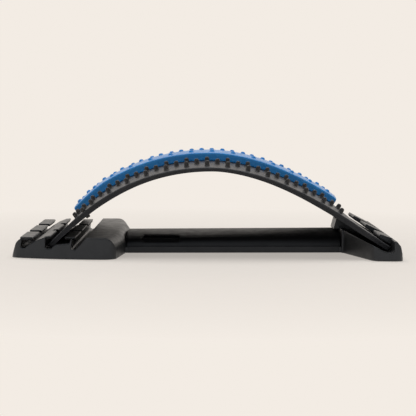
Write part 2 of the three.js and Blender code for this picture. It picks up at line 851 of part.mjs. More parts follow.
// Pocket foot
function rightProfile() {
  const shape = outline([
    [pocketInnerX, floorGap],
    [pocketInnerX, pocketInnerZ],
    [supportKneeX, supportKneeZ],
    [pocketSeatX, pocketSeatZ],
    [pocketFloorX, pocketFloorZ],
    [pocketWallX - pocketRound, pocketFloorZ],
    [pocketWallX, pocketFloorZ + pocketRound],
    [pocketWallX, outerTopZ],
    [outerTopX, outerTopZ],
    [outerShoulderX, outerShoulderZ],
    [outerHipX, outerHipZ],
    [rightEndX, floorGap],
  ]);
  return shape;
}

const rightDiagonalShare = 1 / 3; // how much of the corner's rounding lies on the diagonal

function rightPlan(inset) {
  const half = halfFoot - inset;
  const endX = rightEndX - inset;
  const endHalf = half - rightCornerRound;
  const turnX = rightCornerX - rightCornerRound * rightDiagonalShare + inset;
  const stepX = rightStepX + inset;
  const shape = new THREE.Shape();
  shape.moveTo(rightWaistX + inset, -rightWaistHalf);
  shape.quadraticCurveTo(rightWaistX + inset, -rightStepHalf, stepX, -rightStepHalf);
  shape.lineTo(turnX, rightCornerRound - half);
  shape.quadraticCurveTo(rightCornerX + inset, -half, rightCornerX + rightCornerRound, -half);
  shape.lineTo(endX - rightCornerRound, -half);
  shape.quadraticCurveTo(endX, -half, endX, -endHalf);
  shape.lineTo(endX, endHalf);
  shape.quadraticCurveTo(endX, half, endX - rightCornerRound, half);
  shape.lineTo(rightCornerX + rightCornerRound, half);
  shape.quadraticCurveTo(rightCornerX + inset, half, turnX, half - rightCornerRound);
  shape.lineTo(stepX, rightStepHalf);
  shape.quadraticCurveTo(rightWaistX + inset, rightStepHalf, rightWaistX + inset, rightWaistHalf);
  shape.closePath();
  return shape;
}

// Height of the plate's under and upper side, along a vertical line at x
const searchSteps = 60;

function plateHeightAt(x, offset, s0, s1) {
  let best = null;
  for (let i = 0; i <= searchSteps; i++) {
    const s = s0 + ((s1 - s0) * i) / searchSteps;
    const { point, normal } = archFrame(s);
    const place = [point.x + normal.x * offset(s), point.y + normal.y * offset(s)];
    if (!best || Math.abs(place[0] - x) < Math.abs(best[0] - x)) {
      best = place;
    }
  }
  return best[1];
}

function underPlateZ(x) {
  return plateHeightAt(x, (s) => -thicknessAt(s) - saddleDrop, heelCut - cellPitch, archLength);
}

function overPlateZ(x) {
  return plateHeightAt(x, (s) => camberAt(s, 0) + lipTabClearance, heelCut - cellPitch, archLength);
}

// The raised middle of the support follows the plate's underside
function saddle() {
  const turnX = saddleStartX + slotRound;
  const profile = outline([
    [rightWaistX, saddleLowZ],
    [rightWaistX, saddleHoodZ],
    [saddleHoodX, saddleHoodZ],
    [saddleStartX, underPlateZ(saddleStartX) - slotRound],
    [turnX, underPlateZ(turnX)],
    [saddleEndX, underPlateZ(saddleEndX)],
    [saddleEndX, floorGap + wall],
    [supportKneeX, floorGap + wall],
    [rightStepX, saddleLowZ],
  ]);
  return prismAlongY(profile, -saddleHalf, saddleHalf);
}

// Lips reach from the outer wall over the plate's end
const lipNoseShare = 1 / 3;
const lipChamferShare = 1 / 5;

function lipTabs() {
  const lowZ = pocketFloorZ + 2 * pocketRound;
  const outerLow = overPlateZ(pocketWallX);
  return lipTabReachXs.map((reachX, i) => {
    const innerLow = overPlateZ(reachX);
    const innerHigh = innerLow + lipTabThickness;
    const profile = outline([
      [reachX, innerLow + lipTabThickness * lipNoseShare],
      [reachX + lipTabThickness * lipChamferShare, innerLow],
      [pocketWallX, outerLow],
      [pocketWallX, lowZ],
      [pocketWallX + joinSink, lowZ],
      [outerTopX, outerTopZ],
      [pocketWallX, outerTopZ + joinSink],
      [reachX + lipTabThickness * lipNoseShare, innerHigh],
      [reachX, innerHigh - lipTabThickness * lipNoseShare],
    ]);
    const middle = (i - 1) * lipTabPitch;
    return prismAlongY(profile, middle - lipTabWidth / 2, middle + lipTabWidth / 2);
  });
}

function rightFoot() {
  const plan = prismAlongZ(rightPlan(0), -cutOver, 2 * blockTopZ);
  const body = prismAlongY(rightProfile(), -halfFoot, halfFoot).intersect(plan);
  const insidePlan = prismAlongZ(rightPlan(wall), -2 * cutOver, 2 * blockTopZ);
  const lowCeiling = shallowCeilingZ - ribThickness / 2;
  const columns = [
    [rightWaistX, supportKneeX + ribThickness, pocketCeilingZ],
    [supportKneeX + ribThickness, rightEndX - ribThickness, lowCeiling],
  ];
  const solidParts = joined([...rightRubberPlaces.map(rubberBoss), socketHouse(rightWaistX, 1)]);
  const wallCollar = collar(rightWaistX - collarLength, rightWaistX + joinSink, barEndHalf);
  return joined([body, saddle(), ...lipTabs(), wallCollar])
    .subtract(shellHollow(columns, insidePlan, solidParts))
    .subtract(socketCut(rightWaistX, 1))
    .subtract(joined([...rightRubberPlaces.map(rubberSeat), ...rightScrewPlaces.map(screwHole)]));
}

// Bar
const barLength = barEndX - barStartX;

function barHalfAt(x) {
  return THREE.MathUtils.lerp(barStartHalf, barEndHalf, (x - barStartX) / barLength);
}

function barTopAt(x) {
  return THREE.MathUtils.lerp(barStartTopZ, barEndTopZ, (x - barStartX) / barLength);
}

// A lofted solid between two sections at x0 and x1; section(x) gives top and bottom rows
function barLoft(x0, x1, section) {
  const rings = [x0, x1].map((x) => {
    const { top, bottom } = section(x);
    return [top, bottom].map((row) => row.map(([y, z]) => [x, y, z]));
  });
  const [[top, bottom], [nextTop, nextBottom]] = rings;
  const positions = [];
  const quad = (a, b, c, d) => positions.push(...a, ...b, ...c, ...a, ...c, ...d);
  const last = top.length - 1;
  for (let j = 0; j < last; j++) {
    quad(top[j], nextTop[j], nextTop[j + 1], top[j + 1]);
    quad(bottom[j], bottom[j + 1], nextBottom[j + 1], nextBottom[j]);
    quad(top[j], top[j + 1], bottom[j + 1], bottom[j]);
    quad(nextTop[j], nextBottom[j], nextBottom[j + 1], nextTop[j + 1]);
  }
  quad(top[0], bottom[0], nextBottom[0], nextTop[0]);
  quad(top[last], nextTop[last], nextBottom[last], bottom[last]);
  const geometry = new THREE.BufferGeometry();
  geometry.setAttribute("position", new THREE.Float32BufferAttribute(positions, 3));
  return solidOf(geometry);
}

// The barrel: steep sides that round over into a low crowned top
const barrelSteps = 14;
const barrelPower = 2.6;

function barrelSection(x, inset, lowZ) {
  const half = barHalfAt(x) - trayWall - clearance - inset;
  const topZ = barTopAt(x) - inset;
  const shoulderZ = barShoulderZ - inset / 2;
  const arc = Array.from({ length: barrelSteps + 1 }, (_, i) => {
    const turn = Math.PI * (i / barrelSteps);
    const across = -Math.cos(turn);
    const up = Math.sin(turn) ** (2 / barrelPower);
    return [half * across, shoulderZ + (topZ - shoulderZ) * up];
  });
  return { top: arc, bottom: arc.map(([y]) => [y, lowZ]) };
}

const barFootZ = floorGap + trayFloor + clearance;

function barShell() {
  const shell = barLoft(barStartX, barEndX, (x) => barrelSection(x, 0, barFootZ));
  const bayCount = Math.ceil(barLength / bayPitch);
  const bayLength = (barLength - wall) / bayCount;
  const spine = ribThickness / 2;
  const bays = [];
  for (let i = 0; i < bayCount; i++) {
    const x0 = barStartX + wall + i * bayLength;
    const x1 = x0 + bayLength - ribThickness;
    const bay = barLoft(x0, x1, (x) => barrelSection(x, barWall, -cutOver));
    const ribs = [-cellPitch, 0, cellPitch].map((y) => {
      return block(x0 - cutOver, x1 + cutOver, y - spine, y + spine, -barEndTopZ, barEndTopZ);
    });
    bays.push(bay.subtract(joined(ribs)));
  }
  const bosses = trayScrewPlaces.map(([x, y]) => {
    return cylinder(bossRadius, barFootZ, barTopAt(x) - barWall, screwSides, x, y);
  });
  const tongue = (x0, x1) => block(x0, x1, -tongueHalf, tongueHalf, tongueBottomZ, tongueTopZ);
  const tongues = [
    tongue(barStartX - tongueLength, barStartX + wall),
    tongue(barEndX - wall, barEndX + tongueLength),
  ];
  const recess = new THREE.Shape();
  const radius = (recessHighZ - recessLowZ) / 2;
  recess.absarc(recessEndX - radius, recessLowZ + radius, radius, -Math.PI / 2, Math.PI / 2);
  recess.absarc(recessStartX + radius, recessLowZ + radius, radius, Math.PI / 2, (3 * Math.PI) / 2);
  recess.closePath();
  const insideRecess = barLoft(barStartX, barEndX, (x) => barrelSection(x, recessDepth, barFootZ));
  const recessCut = prismAlongY(recess, -barStartHalf - cutOver, -tongueHalf - cutOver)
    .subtract(insideRecess);
  return shell
    .subtract(joined(bays))
    .add(joined([...bosses, ...tongues]))
    .subtract(joined([...trayScrewPlaces, ...leftScrewPlaces, ...rightScrewPlaces].map(screwHole)))
    .subtract(recessCut);
}

function traySection(x, inset, lowZ, highZ) {
  const half = barHalfAt(x) - inset;
  const row = [-half, half];
  return { top: row.map((y) => [y, highZ]), bottom: row.map((y) => [y, lowZ]) };
}

function barTray() {
  const outer = barLoft(barStartX, barEndX, (x) => traySection(x, 0, floorGap, trayTopZ));
  const inner = barLoft(barStartX - cutOver, barEndX + cutOver, (x) => {
    return traySection(x, trayWall, floorGap + trayFloor, 2 * trayTopZ);
  });
  return outer.subtract(inner).subtract(joined(trayScrewPlaces.map(screwHole)));
}

// Assembly
const stretcher = new THREE.Group();

stretcher.add(meshOf("left_foot", leftFoot(), blackShell));
stretcher.add(meshOf("right_foot", rightFoot(), blackShell));
stretcher.add(meshOf("bar_shell", barShell(), blackShell));
stretcher.add(meshOf("bar_tray", barTray(), blackTray));

const halfGap = plateGap / 2;
stretcher.add(meshOf("plate_left", plateLength(0, crownCut - halfGap), greyPlate));
stretcher.add(meshOf("plate_right", plateLength(crownCut + halfGap, heelCut - halfGap), greyPlate));
stretcher.add(meshOf("plate_heel", plateLength(heelCut + halfGap, archLength), greyPlate));
stretcher.add(meshOf("edge_stud", edgeStud(), darkStud));

stretcher.add(meshOf("pad_left", padLength(padStart, crownCut - padGap / 2), blueFoam));
stretcher.add(meshOf("pad_right", padLength(crownCut + padGap / 2, padEnd), blueFoam));

[...leftRubberPlaces, ...rightRubberPlaces].forEach((place, i) => {
  stretcher.add(meshOf(`rubber_foot_${i + 1}`, rubberFoot(place), blackRubber));
});

[...leftScrewPlaces, ...rightScrewPlaces].forEach((place, i) => {
  stretcher.add(meshOf(`tongue_screw_${i + 1}`, screw(place), steel));
});

trayScrewPlaces.forEach((place, i) => {
  stretcher.add(meshOf(`tray_screw_${i + 1}`, screw(place), steel));
});

export default stretcher;
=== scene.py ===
import math

import bpy
from mathutils import Matrix, Vector


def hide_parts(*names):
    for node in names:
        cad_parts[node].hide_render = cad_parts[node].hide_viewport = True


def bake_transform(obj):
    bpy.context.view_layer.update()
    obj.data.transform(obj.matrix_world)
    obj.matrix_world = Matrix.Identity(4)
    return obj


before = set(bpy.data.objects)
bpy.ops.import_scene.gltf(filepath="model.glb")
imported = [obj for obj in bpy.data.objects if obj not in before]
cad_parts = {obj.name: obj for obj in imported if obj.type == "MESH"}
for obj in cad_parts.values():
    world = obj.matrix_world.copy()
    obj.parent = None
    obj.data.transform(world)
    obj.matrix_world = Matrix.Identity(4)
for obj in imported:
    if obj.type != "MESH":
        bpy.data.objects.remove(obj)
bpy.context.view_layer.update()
MM = 0.001

# Arch line, millimetres: (x, z) points, and the lengths of the curve's handles
LEFT_TIP, CROWN, RIGHT_TIP = (-159.6, 14.15), (3.6, 92.8), (187.3, 13.3)
LEFT_ANGLE, RIGHT_ANGLE = math.radians(46.0), math.radians(31.4)
LEFT_HANDLE, LEFT_CROWN_HANDLE = 56.7, 75.5
RIGHT_CROWN_HANDLE, RIGHT_HANDLE = 73.2, 46.5
CURVE_STEPS = 600

# Plate, millimetres
PLATE_HALF = 110.0
CAMBER, CAMBER_FLAT, CAMBER_RUN = 4.5, 20.0, 60.0
MID_THICKNESS, FLANK_THICKNESS, FLANK_RUN = 4.0, 5.6, 110.0
END_THICKNESS, END_RUN = 5.0, 45.0
PLATE_STEP = 3.0
PLATE_STEPS_ACROSS = 30
# The side of the plate's section: (outward, up) from its upper edge
LEDGE = [(-1.5, 0.0), (-1.15, -0.05), (-0.9, -0.18), (-0.8, -0.5),
         (-0.7, -0.58), (-0.18, -0.6), (-0.05, -0.7), (0.0, -0.9)]
# Two grooves below the ledge: outward, and up as a share of the thickness
GROOVE_SHARES = [(0.0, -0.42), (-0.22, -0.45), (-0.22, -0.49), (0.0, -0.52),
                 (0.0, -0.70), (-0.18, -0.73), (-0.18, -0.76), (0.0, -0.79)]
# The rounded lower edge: (outward, up) from the underside
LOWER_EDGE = [(0.0, 0.3), (-0.1, 0.1), (-0.35, 0.0)]

# Nubs, millimetres: three rows on each side, the middle one half a pitch later
NUB_START, NUB_PITCH, NUB_COUNT = 38.7, 20.77, 15
NUB_OUTER_ROW, NUB_MIDDLE_ROW, NUB_INNER_ROW = 94.0, 74.0, 54.0
# Profiles of round features: (radius, height), foot first
NUB = [(3.25, -0.6), (3.1, 0.0), (2.75, 0.35), (2.5, 0.9), (2.4, 1.8),
       (2.35, 3.6), (2.15, 4.45), (1.7, 5.1), (1.0, 5.48), (0, 5.6)]
BUMP = [(3.0, -0.5), (2.9, 0.0), (2.6, 0.25), (2.45, 0.7),
        (2.2, 1.25), (1.75, 1.7), (1.0, 2.02), (0, 2.1)]
ROUND_SIDES = 16

# Pad, millimetres
PAD_HALF, PAD_THICKNESS, PAD_CROWN = 38.0, 8.4, 1.3
PAD_START, PAD_END, PAD_LIFT = 35.3, 325.8, 0.3
PAD_THINNING = 1.2
PAD_EDGE = 1.5
PAD_EDGE_STEPS = 6
PAD_STEPS_ALONG, PAD_STEPS_ACROSS = 96, 18
# Where the rings stand over each rounded end, as shares of the edge's radius
PAD_END_SHARES = [0.0, 0.12, 0.45, 1.0]
# The drawn-in side: how far in, and the share of the height below the rounded edge
PAD_WAIST_SHARES = [(0.22, 0.66), (0.32, 0.4)]
# The foot of the side: how far in, and how far above the plate
PAD_FOOT = [(0.2, 0.7), (0.25, 0.3), (0.6, 0.0)]
BUMP_START, BUMP_COUNT, BUMP_ROW = 43.8, 14, 27.0

# Arc length where the two bending pieces of the plate meet, in a stretch that stays rigid
SEAM = 292.3


# The arch and the plate's form along it
def bezier(a, b, c, d, t):
    u = 1 - t
    shares = (u**3, 3 * u * u * t, 3 * u * t * t, t**3)
    return tuple(sum(k * point[i] for k, point in zip(shares, (a, b, c, d))) for i in range(2))


def arch_points():
    """Points of the arch line from the left tip to the right, and the length up to each."""
    cos_l, sin_l = math.cos(LEFT_ANGLE), math.sin(LEFT_ANGLE)
    cos_r, sin_r = math.cos(RIGHT_ANGLE), math.sin(RIGHT_ANGLE)
    left_handle = (LEFT_TIP[0] + LEFT_HANDLE * cos_l, LEFT_TIP[1] + LEFT_HANDLE * sin_l)
    right_handle = (RIGHT_TIP[0] - RIGHT_HANDLE * cos_r, RIGHT_TIP[1] + RIGHT_HANDLE * sin_r)
    left = (LEFT_TIP, left_handle, (CROWN[0] - LEFT_CROWN_HANDLE, CROWN[1]), CROWN)
    right = (CROWN, (CROWN[0] + RIGHT_CROWN_HANDLE, CROWN[1]), right_handle, RIGHT_TIP)
    pts = [bezier(*left, i / CURVE_STEPS) for i in range(CURVE_STEPS)]
    pts += [bezier(*right, i / CURVE_STEPS) for i in range(CURVE_STEPS + 1)]
    lengths = [0.0]
    for p, q in zip(pts, pts[1:]):
        lengths.append(lengths[-1] + math.dist(p, q))
    return pts, lengths


ARCH, ARCH_S = arch_points()
LENGTH = ARCH_S[-1]


def arch_at(s):
    """Point, tangent and upward normal of the arch line at arc length s."""
    s = min(max(s, 0.0), LENGTH)
    lo, hi = 0, len(ARCH_S) - 1
    while hi - lo > 1:
        mid = (lo + hi) // 2
        lo, hi = (mid, hi) if ARCH_S[mid] <= s else (lo, mid)
    t = (s - ARCH_S[lo]) / max(ARCH_S[hi] - ARCH_S[lo], 1e-9)
    p, q = ARCH[lo], ARCH[hi]
    a, b = ARCH[max(lo - 1, 0)], ARCH[min(hi + 1, len(ARCH) - 1)]
    d = math.dist(a, b)
    tx, tz = (b[0] - a[0]) / d, (b[1] - a[1]) / d
    return (p[0] + (q[0] - p[0]) * t, p[1] + (q[1] - p[1]) * t), (tx, tz), (-tz, tx)


def smooth(x, run):
    t = min(max(x / run, 0.0), 1.0)
    return t * t * (3 - 2 * t)


def camber(s, y):
    """How far the plate's top rises over the arch line at arc length s, y from the middle."""
    full = CAMBER * smooth(min(s, LENGTH - s) - CAMBER_FLAT, CAMBER_RUN)
    return full * (1 - (y / PLATE_HALF) ** 2)


def thickness(s):
    from_tip = min(s, LENGTH - s)
    flank = min(max((LENGTH / 2 - from_tip) / FLANK_RUN, 0.0), 1.0)
    grown = MID_THICKNESS + (FLANK_THICKNESS - MID_THICKNESS) * flank
    return END_THICKNESS + (grown - END_THICKNESS) * smooth(from_tip, END_RUN)


def on_arch(s, y, n):
    """The point in metres at arc length s, y from the middle and n above the arch line."""
    (x, z), _, (nx, nz) = arch_at(s)
    return ((x + nx * n) * MM, y * MM, (z + nz * n) * MM)


# Mesh helpers
def new_object(name, verts, faces, material, uvs=None):
    mesh = bpy.data.meshes.new(name)
    mesh.from_pydata(verts, [], faces)
    mesh.materials.append(material)
    if uvs is not None:
        layer = mesh.uv_layers.new(name="along")
        for loop in mesh.loops:
            layer.data[loop.index].uv = uvs[loop.vertex_index]
    for poly in mesh.polygons:
        poly.use_smooth = True
    mesh.update()
    obj = bpy.data.objects.new(name, mesh)
    bpy.context.scene.collection.objects.link(obj)
    return obj


def swept(stations, section, cap_start=True, cap_end=True):
    """Rings of a closed section along the arch: verts, faces and (s, y) pairs in metres."""
    verts, faces, uvs = [], [], []
    rings = [section(s) for s in stations]
    count = len(rings[0])
    for s, ring in zip(stations, rings):
        for y, n in ring:
            verts.append(on_arch(s, y, n))
            uvs.append((s * MM, y * MM))
    for i in range(len(rings) - 1):
        for j in range(count):
            k = (j + 1) % count
            low, high = i * count, (i + 1) * count
            faces.append((low + j, low + k, high + k, high + j))
    if cap_start:
        faces.append(tuple(reversed(range(count))))
    if cap_end:
        base = (len(rings) - 1) * count
        faces.append(tuple(base + j for j in range(count)))
    return verts, faces, uvs


def add_turned(verts, faces, uvs, s, y, n0, profile):
    """A round feature that stands on the arch at s, y."""
    (x, z), (tx, tz), (nx, nz) = arch_at(s)
    start = len(verts)
    for r, h in profile:
        for i in range(ROUND_SIDES if r > 0 else 1):
            a = 2 * math.pi * i / ROUND_SIDES
            u, v, n = r * math.cos(a), r * math.sin(a), n0 + h
            verts.append(((x + tx * u + nx * n) * MM, (y + v) * MM, (z + tz * u + nz * n) * MM))
            uvs.append((s * MM, y * MM))
    for k in range(len(profile) - 1):
        for i in range(ROUND_SIDES):
            j = (i + 1) % ROUND_SIDES
            a, b = start + k * ROUND_SIDES + i, start + k * ROUND_SIDES + j
            if profile[k + 1][0] > 0:
                faces.append((b, a, a + ROUND_SIDES, b + ROUND_SIDES))
            else:
                faces.append((b, a, start + (k + 1) * ROUND_SIDES))


# Material helpers
NOISE_ROUGHNESS = 0.55
SPREAD = (0.3, 0.7)
BEVEL_SAMPLES = 6


def material(name):
    mat = bpy.data.materials.new(name)
    mat.use_nodes = True
    nodes = mat.node_tree.nodes
    nodes.clear()
    out = nodes.new("ShaderNodeOutputMaterial")
    shader = nodes.new("ShaderNodeBsdfPrincipled")
    mat.node_tree.links.new(shader.outputs["BSDF"], out.inputs["Surface"])
    return mat, mat.node_tree, shader


def node(tree, kind, values=None, **settings):
    """A new node, with values on its inputs and settings on the node itself."""
    made = tree.nodes.new(kind)
    for key, value in settings.items():
        setattr(made, key, value)
    for key, value in (values or {}).items():
        made.inputs[key].default_value = value
    return made


def object_coords(tree):
    return node(tree, "ShaderNodeTexCoord").outputs["Object"]


def noise(tree, vector, scale, detail=3.0):
    values = {"Scale": scale, "Detail": detail, "Roughness": NOISE_ROUGHNESS}
    made = node(tree, "ShaderNodeTexNoise", values)
    tree.links.new(vector, made.inputs["Vector"])
    return made.outputs["Fac"]


def ramp(tree, fac, stops):
    """A ramp over stops of (place, value), where a value is a number or a colour."""
    made = node(tree, "ShaderNodeValToRGB")
    elements = made.color_ramp.elements
    while len(elements) < len(stops):
        elements.new(0.5)
    for element, (place, value) in zip(elements, stops):
        element.position = place
        element.color = (*value, 1) if isinstance(value, tuple) else (value, value, value, 1)
    tree.links.new(fac, made.inputs["Fac"])
    return made.outputs["Color"]


def between(tree, fac, low, high):
    """From low to high over the middle of a noise."""
    return ramp(tree, fac, list(zip(SPREAD, (low, high))))


def bump(tree, height, strength, distance, normal=None):
    made = node(tree, "ShaderNodeBump", {"Strength": strength, "Distance": distance})
    tree.links.new(height, made.inputs["Height"])
    if normal is not None:
        tree.links.new(normal, made.inputs["Normal"])
    return made.outputs["Normal"]


def edge_round(tree, radius):
    made = node(tree, "ShaderNodeBevel", {"Radius": radius}, samples=BEVEL_SAMPLES)
    return made.outputs["Normal"]


# A Mix node's sockets share names, so they go by number: inputs A and B, and the output
MIX_SOCKETS = {"FLOAT": (2, 3, 0), "RGBA": (6, 7, 2)}


def mixed(tree, kind, factor, first, second):
    """From first to second by a factor; the kind is FLOAT for numbers and RGBA for colours."""
    made = node(tree, "ShaderNodeMix", data_type=kind)
    a, b, result = MIX_SOCKETS[kind]
    tree.links.new(factor, made.inputs["Factor"])
    tree.links.new(first, made.inputs[a])
    tree.links.new(second, made.inputs[b])
    return made.outputs[result]


def set_shader(tree, shader, sources=None, values=None):
    """Links sources to the shader's sockets, and sets constant values on others."""
    for key, source in (sources or {}).items():
        tree.links.new(source, shader.inputs[key])
    for key, value in (values or {}).items():
        shader.inputs[key].default_value = value


MOTTLE_SCALE, GLOSS_SCALE, GRAIN_SCALE = 35.0, 120.0, 2600.0
GRAIN_STRENGTH = 0.6


def moulded(name, dark, light, dull, grain=0.00006, radius=0.0007, values=None):
    """Fine-grained moulded plastic: faint mottling, spark-eroded grain and softened edges."""
    mat, tree, shader = material(name)
    coords = object_coords(tree)
    fine = noise(tree, coords, GRAIN_SCALE, 2.0)
    sources = {
        "Base Color": between(tree, noise(tree, coords, MOTTLE_SCALE, 4.0), dark, light),
        "Roughness": between(tree, noise(tree, coords, GLOSS_SCALE), *dull),
        "Normal": bump(tree, fine, GRAIN_STRENGTH, grain, edge_round(tree, radius)),
    }
    set_shader(tree, shader, sources, values)
    return mat


# Materials of the moulded pieces
COOL_TINT = (0.88, 0.93, 1.0, 1)
shell_mat = moulded(
    "black_shell_grain", (0.0085, 0.0086, 0.0088), (0.013, 0.0132, 0.0135), (0.34, 0.46),
    radius=0.0018, values={"Specular IOR Level": 0.56, "Specular Tint": COOL_TINT})
bar_mat = moulded(
    "black_bar_grain", (0.0035, 0.0036, 0.0038), (0.006, 0.0061, 0.0063), (0.43, 0.53),
    radius=0.003, values={"Specular IOR Level": 0.4, "Specular Tint": COOL_TINT})
tray_mat = moulded(
    "black_tray_grain", (0.012, 0.0121, 0.0124), (0.018, 0.0182, 0.0185), (0.42, 0.54),
    values={"Specular IOR Level": 0.45, "Specular Tint": COOL_TINT})
rubber_mat = moulded(
    "rubber_feet", (0.006, 0.006, 0.006), (0.011, 0.011, 0.011), (0.75, 0.88), 0.0001, 0.0004)
stud_mat = moulded(
    "stud_plastic", (0.010, 0.009, 0.008), (0.020, 0.017, 0.015), (0.45, 0.6), 0.00004, 0.0003)
nub_mat = moulded(
    "nub_plastic", (0.011, 0.0095, 0.0095), (0.022, 0.018, 0.017), (0.4, 0.52), 0.00004, 0.0003)


def steel_material():
    mat, tree, shader = material("zinc_screws")
    coords = object_coords(tree)
    dark, light = (0.32, 0.33, 0.34), (0.5, 0.5, 0.5)
    sources = {
        "Base Color": between(tree, noise(tree, coords, 900.0), dark, light),
        "Roughness": between(tree, noise(tree, coords, 400.0), 0.28, 0.42),
    }
    set_shader(tree, shader, sources, {"Metallic": 1.0})
    return mat


# The plate's long edges start this far from its middle, in metres
SIDE_FROM = 0.1094
# Painted light: the top's colours are lighter as painted sheen, and the long edges' colours
# darker as painted shade
SHEEN_TOP_DARK, SHEEN_TOP_LIGHT = (0.020, 0.020, 0.022), (0.029, 0.029, 0.031)
SHADED_SIDE_DARK, SHADED_SIDE_LIGHT = (0.010, 0.010, 0.0105), (0.014, 0.014, 0.0145)
TOP_DULL, SIDE_DULL = (0.38, 0.5), (0.6, 0.72)
PLATE_TINT = (0.9, 0.92, 1.0, 1)


def plate_material():
    """Dark plastic with fine lines across; its top is painted lighter as painted sheen, its long
    edges darker as painted shade, and the edges are duller.
    """
    mat, tree, shader = material("plate_plastic")
    coords = object_coords(tree)
    along = node(tree, "ShaderNodeUVMap", uv_map="along").outputs["UV"]
    place = node(tree, "ShaderNodeSeparateXYZ")
    tree.links.new(along, place.inputs[0])
    from_middle = node(tree, "ShaderNodeMath", operation="ABSOLUTE")
    tree.links.new(place.outputs["Y"], from_middle.inputs[0])
    on_side = node(tree, "ShaderNodeMath", {1: SIDE_FROM}, operation="GREATER_THAN")
    tree.links.new(from_middle.outputs[0], on_side.inputs[0])

    mottle, gloss = noise(tree, coords, 60.0, 4.0), noise(tree, coords, 150.0)
    # Lit and shaded copies of one colour: painted sheen on the top, painted shade on the long
    # edges
    sheen_top_colour = between(tree, mottle, SHEEN_TOP_DARK, SHEEN_TOP_LIGHT)
    shaded_side_colour = between(tree, mottle, SHADED_SIDE_DARK, SHADED_SIDE_LIGHT)
    top_rough, side_rough = between(tree, gloss, *TOP_DULL), between(tree, gloss, *SIDE_DULL)

    # Fine lines across the plate, one about every two millimetres of arch
    values = {"Scale": 160.0, "Distortion": 0.6, "Detail": 2.0, "Detail Scale": 3.0}
    wave = node(tree, "ShaderNodeTexWave", values, wave_type="BANDS", bands_direction="X")
    tree.links.new(along, wave.inputs["Vector"])
    lines = bump(tree, wave.outputs["Fac"], 0.35, 0.00012)
    fine = bump(tree, noise(tree, coords, 2400.0, 2.0), 0.4, 0.00005, lines)
    sources = {
        "Base Color": mixed(tree, "RGBA", on_side.outputs[0], sheen_top_colour, shaded_side_colour),
        "Roughness": mixed(tree, "FLOAT", on_side.outputs[0], top_rough, side_rough),
        "Normal": fine,
    }
    set_shader(tree, shader, sources, {"Specular Tint": PLATE_TINT})
    return mat


def pad_material():
    """Blue foam with a fine-celled skin."""
    mat, tree, shader = material("blue_foam_skin")
    coords = object_coords(tree)
    cells = node(tree, "ShaderNodeTexVoronoi", {"Scale": 1400.0})
    tree.links.new(coords, cells.inputs["Vector"])
    skin = bump(tree, cells.outputs["Distance"], 0.25, 0.00008)
    deep, bright = (0.006, 0.22, 0.6), (0.009, 0.26, 0.67)
    sources = {
        "Base Color": between(tree, noise(tree, coords, 45.0, 5.0), deep, bright),
        "Roughness": between(tree, noise(tree, coords, 300.0), 0.34, 0.46),
        "Normal": bump(tree, noise(tree, coords, 500.0, 4.0), 0.3, 0.0001, skin),
    }
    values = {"Sheen Weight": 0.32, "Sheen Roughness": 0.4, "Specular IOR Level": 0.5}
    set_shader(tree, shader, sources, values)
    return mat


plate_mat = plate_material()
pad_mat = pad_material()


# Finish of the CAD pieces
def finish_of(mat, names):
    for n in names:
        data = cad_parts[n].data
        data.materials.clear()
        data.materials.append(mat)


finish_of(shell_mat, ["left_foot", "right_foot"])
finish_of(bar_mat, ["bar_shell"])
finish_of(tray_mat, ["bar_tray"])
finish_of(stud_mat, ["edge_stud"])
finish_of(rubber_mat, [f"rubber_foot_{i}" for i in range(1, 7)])
screws = [f"{kind}_screw_{i}" for kind in ("tongue", "tray") for i in range(1, 5)]
finish_of(steel_material(), screws)

WELD_DISTANCE = 0.00001
CRISP_DEGREES = 28


def soften(name):
    """Smooth shading on curved walls; edges turned by more than CRISP_DEGREES stay crisp."""
    group = bpy.data.node_groups.new("soft_curves", "GeometryNodeTree")
    group.interface.new_socket("Geometry", in_out="INPUT", socket_type="NodeSocketGeometry")
    group.interface.new_socket("Geometry", in_out="OUTPUT", socket_type="NodeSocketGeometry")
    source, result = node(group, "NodeGroupInput"), node(group, "NodeGroupOutput")
    angle = node(group, "GeometryNodeInputMeshEdgeAngle")
    steep = node(group, "FunctionNodeCompare", data_type="FLOAT", operation="GREATER_THAN")
    steep.inputs["B"].default_value = math.radians(CRISP_DEGREES)
    kind = "GeometryNodeSetShadeSmooth"
    crisp = node(group, kind, {"Shade Smooth": False}, domain="EDGE")
    faces = node(group, kind, {"Shade Smooth": True}, domain="FACE")
    link = group.links.new
    link(angle.outputs["Unsigned Angle"], steep.inputs["A"])
    link(source.outputs["Geometry"], crisp.inputs[0])
    link(steep.outputs["Result"], crisp.inputs["Selection"])
    link(crisp.outputs[0], faces.inputs[0])
    link(faces.outputs[0], result.inputs[0])
    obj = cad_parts[name]
    obj.modifiers.new("weld", "WELD").merge_threshold = WELD_DISTANCE
    obj.modifiers.new("soft_curves", "NODES").node_group = group
    obj.modifiers.new("even_normals", "WEIGHTED_NORMAL").keep_sharp = True


soften("bar_shell")


# Plate and nubs
def plate_section(s):
    """The plate's closed section at arc length s: (y, height over the arch line)."""
    thick = thickness(s)
    side = LEDGE + [(dy, share * thick) for dy, share in GROOVE_SHARES]
    side += [(dy, rise - thick) for dy, rise in LOWER_EDGE]
    steps = PLATE_STEPS_ACROSS
    inner = PLATE_HALF + LEDGE[0][0]
    low = PLATE_HALF + LOWER_EDGE[-1][0]
    top = [(-inner + 2 * inner * i / steps, 0.0) for i in range(1, steps)]
    right = [(PLATE_HALF + dy, n) for dy, n in side]
    bottom = [(low - 2 * low * i / steps, -thick) for i in range(1, steps)]
    left = [(-PLATE_HALF - dy, n) for dy, n in reversed(side)]
    return [(y, n + camber(s, y)) for y, n in top + right + bottom + left]


def plate_piece(name, s0, s1, cap_start, cap_end):
    steps = max(2, round((s1 - s0) / PLATE_STEP))
    stations = [s0 + (s1 - s0) * i / steps for i in range(steps + 1)]
    verts, faces, uvs = swept(stations, plate_section, cap_start, cap_end)
    return new_object(name, verts, faces, plate_mat, uvs)


